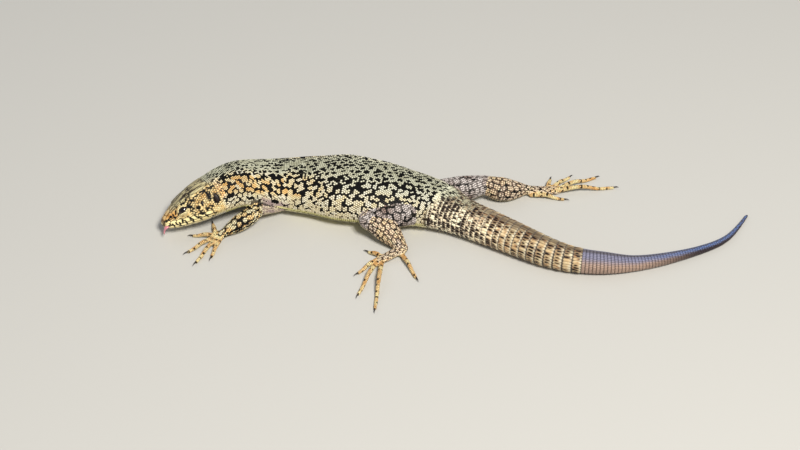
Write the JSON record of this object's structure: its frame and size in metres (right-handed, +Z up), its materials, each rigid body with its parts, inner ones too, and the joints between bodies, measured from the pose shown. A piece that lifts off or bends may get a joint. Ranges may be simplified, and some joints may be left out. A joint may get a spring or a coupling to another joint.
{
  "type": "wall lizard figure",
  "caption": "Life-size still figure of a wall lizard basking flat with its head lifted and turned, tongue tip out, tail curved and partly regrown.",
  "frame": {"origin": "middle of the ground under the animal: the bottom centre of its bounding box, on the floor it rests on", "axes": "+X from the head towards the tail, +Y towards the animal's right side, +Z up; the left side faces -Y"},
  "size_m": [0.1304, 0.0506, 0.0121],
  "materials": {
    "back_scales": "fine dry scales, green-olive with a black net and tan spots on the flanks",
    "jaw_scales": "smooth cream-yellow plates with dark bars",
    "tail_scales": "keeled tan scales in rings with dark side marks",
    "regrown_scales": "small smooth lavender-grey scales in close rings",
    "limb_scales": "dry scales, tan and cream spots in a black net",
    "eye": "wet glossy dark eye",
    "eardrum": "thin dark satin skin",
    "tongue": "moist pink flesh",
    "claw": "polished dark horn"
  },
  "bodies": {
    "root": {"claw_fore_left_fifth": "claw", "claw_fore_left_first": "claw", "claw_fore_left_fourth": "claw", "claw_fore_left_second": "claw", "claw_fore_left_third": "claw", "claw_fore_right_fifth": "claw", "claw_fore_right_first": "claw", "claw_fore_right_fourth": "claw", "claw_fore_right_second": "claw", "claw_fore_right_third": "claw", "claw_hind_left_fifth": "claw", "claw_hind_left_first": "claw", "claw_hind_left_fourth": "claw", "claw_hind_left_second": "claw", "claw_hind_left_third": "claw", "claw_hind_right_fifth": "claw", "claw_hind_right_first": "claw", "claw_hind_right_fourth": "claw", "claw_hind_right_second": "claw", "claw_hind_right_third": "claw", "eardrum_left": "eardrum", "eardrum_right": "eardrum", "eye_left": "eye", "eye_right": "eye", "foot_left": "limb_scales", "foot_right": "limb_scales", "forearm_left": "limb_scales", "forearm_right": "limb_scales", "hand_left": "limb_scales", "hand_right": "limb_scales", "head": "back_scales", "lower_jaw": "jaw_scales", "neck": "back_scales", "shank_left": "limb_scales", "shank_right": "limb_scales", "tail_base": "tail_scales", "tail_middle": "tail_scales", "tail_regrown": "regrown_scales", "tail_tip": "regrown_scales", "thigh_left": "limb_scales", "thigh_right": "limb_scales", "tongue": "tongue", "trunk_front": "back_scales", "trunk_middle": "back_scales", "trunk_rear": "back_scales", "upper_arm_left": "limb_scales", "upper_arm_right": "limb_scales"}
  },
  "joints": []
}
